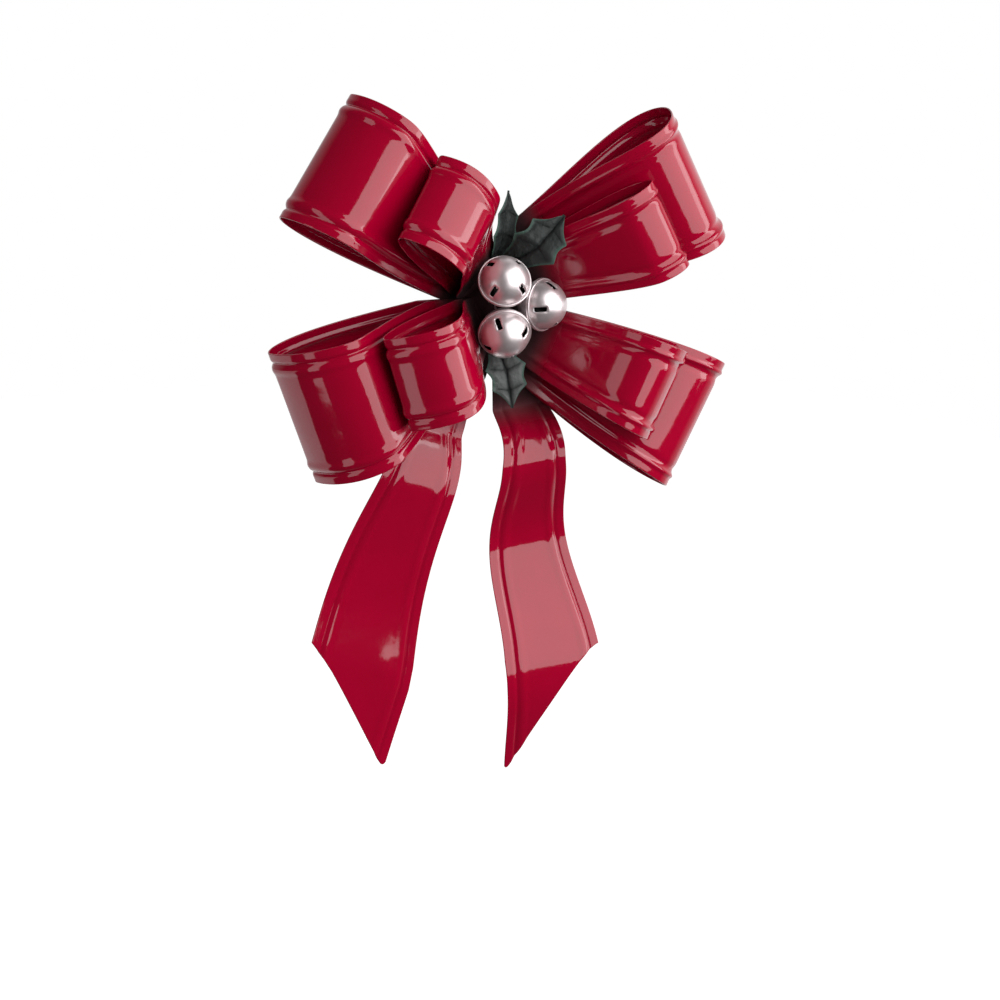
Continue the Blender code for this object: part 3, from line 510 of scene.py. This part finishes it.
def leaf_middle(name, rows=170, columns=61):
    """Middle surface of a leaf, with the share of its rim and of the painted shade in its groove and between its veins
    at each point.
    """
    up, layer, length, width, lift, turn, roll, _ = LEAVES[name]
    turn, roll = np.radians([turn, roll])
    along = np.array([np.cos(turn), 0, np.sin(turn)])
    across = np.cross(FORWARD, along)
    root = np.array([-RIVET_X, -FIRST_LAYER - layer * PITCH, up * RIVET_Z])
    reach = np.linspace(-3.4, length, rows)[:, None]
    share = np.linspace(-1, 1, columns)[None]
    blade = np.clip((reach - 9) / (length - 9), 0, 1)
    stalk = 3.2 * (1 - 0.55 * ease(reach / 5))
    bulge = width / 2 * np.sin(np.pi * blade**0.8) ** 0.6 * np.minimum((1 - blade) / 0.35, 1) ** 0.5
    bulge = bulge * (1 - 0.24 * np.abs(np.sin(SPINES * np.pi * blade)))
    half = np.where(blade > 0, np.maximum(bulge, 1.6 * (1 - blade) + LEAF_SHEET), stalk)
    risen = np.maximum(reach - 2.6, 0)
    opened = ease(risen / 9)
    spin = (roll * opened)[..., None]
    sideways = np.cos(spin) * across + np.sin(spin) * FORWARD
    front = np.cos(spin) * FORWARD - np.sin(spin) * across
    out = np.abs(share) * half
    vein = np.abs(np.sin(SPINES * np.pi * (blade - 0.06 + 0.10 * np.abs(share)))) ** 0.5
    inside = ease((1 - np.abs(share)) / 0.35) * ease(blade / 0.12) * ease((1 - blade) / 0.15)
    pillow = 0.75 * vein * inside * ease(out / 2.5)
    groove = np.exp(-((out / 0.9) ** 2)) * ease(blade / 0.1)
    height = 0.16 * out * opened + pillow - 0.45 * groove
    rise = lift * ease(risen / 21)
    middle = root + reach[..., None] * along + rise[..., None] * FORWARD
    middle = middle + (share * half)[..., None] * sideways + height[..., None] * front
    rim = ease((np.abs(share) - 0.80) / 0.2) * np.ones_like(reach)
    # Painted shade in the midrib groove and between the side veins.
    valley = np.clip(groove + (1 - vein) * inside, 0, 1)
    return middle, rim, valley


for name in LEAVES:
    middle, rim, valley = leaf_middle(name)
    facing = np.cross(middle[91, 30] - middle[90, 30], middle[90, 31] - middle[90, 30]) @ FORWARD
    if facing < 0:
        middle, rim, valley = middle[:, ::-1], rim[:, ::-1], valley[:, ::-1]
    rings = sheet(middle, LEAF_SHEET)
    add_piece(name + "_sheet", rings, grid_faces(*rings.shape[:2]), LEAF_PAINT, "bow", [name], "holly_green",
              rim=along_rings(rim), valley=along_rings(valley), wear=along_rings(0 * rim + LEAVES[name][-1]))
print("leaves:", list(LEAVES))

# %% [markdown]
# ## The jingle bells
# A jingle bell is two spun half spheres, crimped together at a rolled seam. The front half has four slots that
# run from the seam towards its crown. The half sphere is a grid of turn and rise, and points near a slot's
# outline move onto it, so that the faces inside can be left out with a clean edge.

# %% Bell frames
BELL_RADIUS, BELL_WALL = 11.9, 0.6
BELLS = {"upper_bell": (120, 15), "lower_bell": (240, 59), "right_bell": (0, 7)}


def bell_place(angle):
    """Centre and axes of a bell: its columns are the tangent, the side and the axis from seam to crown."""
    angle, tilt = np.radians([angle, 30])
    outwards = np.array([np.cos(angle), 0, np.sin(angle)])
    axis = np.cos(tilt) * FORWARD + np.sin(tilt) * outwards
    tangent = np.array([-np.sin(angle), 0, np.cos(angle)])
    setback = 3.5 * (1 + 2 * np.cos(angle)) / 3
    centre = (26.0 - setback) * FORWARD + 14.1 * outwards + np.array([-0.8, 0, -0.6])
    return centre, np.stack([tangent, np.cross(axis, tangent), axis], axis=1)


def turned(radius, height, turns):
    """Points of a profile turned about the Z axis: rows along the profile and columns round the turn."""
    x = radius[:, None] * np.cos(turns)
    y = radius[:, None] * np.sin(turns)
    return np.stack([x, y, height[:, None] + 0 * x], axis=-1)


# %% Front shells with slots
SLOT_HALF_WIDTH, SLOT_LENGTH, SLOT_RISE = 1.15, 6.4, 31
SHELL_TURNS, SHELL_RISES = 240, 84


def slot_distance(turn, rise, spin):
    """Distance outside the nearest slot, in mm on the shell: a bar with softly rounded corners."""
    quarter = np.pi / 2
    beside = (turn - spin + quarter / 2) % quarter - quarter / 2
    aside = np.abs(BELL_RADIUS * np.cos(rise) * beside)
    along = np.abs(BELL_RADIUS * (rise - np.radians(SLOT_RISE)))
    corner = 0.7
    over = np.maximum(np.stack([aside - SLOT_HALF_WIDTH, along - SLOT_LENGTH / 2], -1) + corner, 0)
    return np.linalg.norm(over, axis=-1) - corner


def front_shell(spin):
    """Points and faces of a slotted half sphere. The edge of each slot is rolled in slightly."""
    turn = np.linspace(0, 2 * np.pi, SHELL_TURNS, endpoint=False)[None] + np.zeros((SHELL_RISES, 1))
    rise = np.radians(np.linspace(3.0, 89.6, SHELL_RISES))[:, None] + np.zeros((1, SHELL_TURNS))
    spin = np.radians(spin)
    step = 1e-4
    for _ in range(3):
        gap = slot_distance(turn, rise, spin)
        by_turn = (slot_distance(turn + step, rise, spin) - gap) / step
        by_rise = (slot_distance(turn, rise + step, spin) - gap) / step
        wide = BELL_RADIUS * np.cos(rise)
        move = np.where(np.abs(gap) < 0.16, gap, 0) / ((by_turn / wide) ** 2 + (by_rise / BELL_RADIUS) ** 2 + 1e-9)
        turn = turn - move * by_turn / wide**2
        rise = rise - move * by_rise / BELL_RADIUS**2
    gap = slot_distance(turn, rise, spin)
    radius = BELL_RADIUS - 0.35 * np.exp(-((np.maximum(gap, 0) / 0.45) ** 2))
    points = np.stack([np.cos(rise) * np.cos(turn), np.cos(rise) * np.sin(turn), np.sin(rise)], -1) * radius[..., None]
    faces = grid_faces(SHELL_RISES, SHELL_TURNS)[:, ::-1]
    inside = gap.ravel()[faces].mean(axis=1) < 0
    return points, faces[~inside]


for name, (angle, spin) in BELLS.items():
    centre, axes = bell_place(angle)
    points, faces = front_shell(spin)
    shell = add_piece(name + "_front", points @ axes.T + centre, faces, SILVER, name, [name + "_front_shell"],
                      "satin_silver", centre=0 * points + centre * MM)
    wall = shell.modifiers.new("wall", "SOLIDIFY")
    wall.thickness = BELL_WALL * MM
    wall.offset = -1

# %% Rear shells with the rolled seam
rise = np.radians(np.linspace(-89.6, -6, 60))
seam = np.array([
    (12.0, -1.15), (12.35, -1.05), (12.62, -0.85), (12.74, -0.55), (12.68, -0.25), (12.50, -0.02), (12.46, 0.08),
    (12.52, 0.20), (12.66, 0.40), (12.70, 0.62), (12.62, 0.85), (12.42, 0.99), (12.15, 1.02), (11.98, 0.92),
    (11.92, 0.70), (11.6, 0.55), (11.2, 0.45), (11.1, 0.2),
])
inner = np.radians(np.linspace(0, -89.6, 40))
profile = np.concatenate([
    np.stack([BELL_RADIUS * np.cos(rise), BELL_RADIUS * np.sin(rise)], 1),
    seam,
    np.stack([11.3 * np.cos(inner), 11.3 * np.sin(inner)], 1),
])
turns = np.linspace(0, 2 * np.pi, 128, endpoint=False)[None]
points = turned(profile[:, 0], profile[:, 1], turns)
for name, (angle, spin) in BELLS.items():
    centre, axes = bell_place(angle)
    add_piece(name + "_rear", points @ axes.T + centre, grid_faces(*points.shape[:2])[:, ::-1], SILVER, name,
              [name + "_rear_shell"], "satin_silver", centre=0 * points + centre * MM)
print("bells:", list(BELLS))

# %% [markdown]
# ## The knot's hidden hardware
# The disc, the rivets, the wires and the pellets are seen only from the side or behind. Their CAD shapes are
# plain and are kept. The disc takes the red lacquer, and the rest take the steel.

# %% Steel on the kept nodes
for name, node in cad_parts.items():
    if not node.hide_render:
        finish, slot = (LACQUER, "red_lacquer") if name == "backing_disc" else (STEEL, "steel")
        node.data.materials.clear()
        node.data.materials.append(finish)
        print("kept:", name)
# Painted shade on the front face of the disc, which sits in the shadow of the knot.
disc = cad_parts["backing_disc"].data
depth = np.array([corner.co.y for corner in disc.vertices], np.float32)
disc.attributes.new("stain", "FLOAT", "POINT").data.foreach_set("value", (depth < -MM).astype(np.float32))

# %% [markdown]
# ## Studio
# The photo was taken in a white cove: everything behind the bow is white, and one very large soft box stands in
# front to the right. Its mirror image makes the broad pale stripes. A narrow box on the left gives the thin
# ones. The world is white behind the bow, a quiet grey for diffuse light and nearly black in front.

# %% Camera
azimuth, elevation = np.radians([-24.4, 9.9])
back = np.array([np.sin(azimuth) * np.cos(elevation), -np.cos(azimuth) * np.cos(elevation), np.sin(elevation)])
right = np.array([np.cos(azimuth), np.sin(azimuth), 0])
up = np.cross(back, right)
camera = bpy.data.objects.new("camera", bpy.data.cameras.new("camera"))
bpy.context.scene.collection.objects.link(camera)
rotation = Matrix(np.stack([right, up, back], 1).tolist()).to_4x4()
camera.matrix_world = Matrix.Translation(Vector((1.44 * right - 96 * up + 1400 * back) * MM)) @ rotation
camera.data.lens = 105
camera.data.sensor_width = 36
bpy.context.scene.camera = camera

# %% Soft boxes


def soft_box(name, azimuth, elevation, width, height, radiance, distance=0.95):
    """A rectangular lamp that faces the knot from a direction. Its size is in distances, its level a radiance."""
    azimuth, elevation = np.radians([azimuth, elevation])
    toward = Vector((np.sin(azimuth) * np.cos(elevation), -np.cos(azimuth) * np.cos(elevation), np.sin(elevation)))
    data = bpy.data.lights.new(name, "AREA")
    data.shape = "RECTANGLE"
    data.size = width * distance
    data.size_y = height * distance
    data.energy = radiance * np.pi * data.size * data.size_y
    lamp = bpy.data.objects.new(name, data)
    lamp.location = toward * distance
    lamp.rotation_euler = toward.to_track_quat("Z", "Y").to_euler()
    lamp.visible_camera = False
    bpy.context.scene.collection.objects.link(lamp)
    return lamp


soft_box("right_box", 35, 18, 1.79, 1.47, 3.2)
soft_box("right_edge", 65, 10, 0.26, 1.2, 2.2, 0.93)
soft_box("left_strip", -70, 0, 0.32, 1.5, 1.8)

# %% World and floor
world = bpy.data.worlds.new("studio")
bpy.context.scene.world = world
world.use_nodes = True
tree = world.node_tree
paths = tree.nodes.new("ShaderNodeLightPath")
place = tree.nodes.new("ShaderNodeTexCoord")
behind = tree.nodes.new("ShaderNodeVectorMath")
behind.operation = "DOT_PRODUCT"
behind.inputs[1].default_value = tuple(-back * np.array([1, 1, 0]))
tree.links.new(place.outputs["Generated"], behind.inputs[0])
cove = add_range(tree, behind.outputs["Value"], 0.0, 1.0, 0.10, 0.60)
glossy = tree.nodes.new("ShaderNodeMath")
glossy.operation = "MULTIPLY"
tree.links.new(cove, glossy.inputs[0])
tree.links.new(paths.outputs["Is Glossy Ray"], glossy.inputs[1])
seen = tree.nodes.new("ShaderNodeMath")
seen.operation = "MAXIMUM"
tree.links.new(paths.outputs["Is Camera Ray"], seen.inputs[0])
tree.links.new(paths.outputs["Is Transmission Ray"], seen.inputs[1])
white = add_sum(tree, seen.outputs[0], glossy.outputs[0])
diffuse = add_range(tree, paths.outputs["Is Diffuse Ray"], 0.04, 0.30)
level = tree.nodes.new("ShaderNodeMath")
level.operation = "MAXIMUM"
tree.links.new(white, level.inputs[0])
tree.links.new(diffuse, level.inputs[1])
background = tree.nodes["Background"]
background.inputs["Color"].default_value = (1, 1, 1, 1)
tree.links.new(level.outputs[0], background.inputs["Strength"])

FLOOR_Z = -0.60
corner = np.array([(-2.2, 0.25), (2.2, 0.25), (2.2, 4.0), (-2.2, 4.0)])
floor_mesh = bpy.data.meshes.new("floor")
floor_mesh.from_pydata([(x, y, FLOOR_Z) for x, y in corner.tolist()], [], [(0, 1, 2, 3)])
floor = bpy.data.objects.new("floor", floor_mesh)
bpy.context.scene.collection.objects.link(floor)
pale = bpy.data.materials.new("pale_floor")
pale.use_nodes = True
tree = pale.node_tree
shader = tree.nodes["Principled BSDF"]
shader.inputs["Base Color"].default_value = (0.85, 0.85, 0.85, 1)
shader.inputs["Roughness"].default_value = 0.9
shader.inputs["Emission Color"].default_value = (1, 1, 1, 1)
paths = tree.nodes.new("ShaderNodeLightPath")
seen = tree.nodes.new("ShaderNodeMath")
seen.operation = "MAXIMUM"
tree.links.new(paths.outputs["Is Camera Ray"], seen.inputs[0])
tree.links.new(paths.outputs["Is Glossy Ray"], seen.inputs[1])
both = tree.nodes.new("ShaderNodeMath")
both.operation = "MAXIMUM"
tree.links.new(seen.outputs[0], both.inputs[0])
tree.links.new(paths.outputs["Is Transmission Ray"], both.inputs[1])
tree.links.new(add_range(tree, both.outputs[0], 0.0, 0.8), shader.inputs["Emission Strength"])
floor_mesh.materials.append(pale)

# %% [markdown]
# ## Finish
# The picture uses the standard view transform, so that a colour renders as it is written.

# %% View transform
bpy.context.scene.view_settings.view_transform = "Standard"
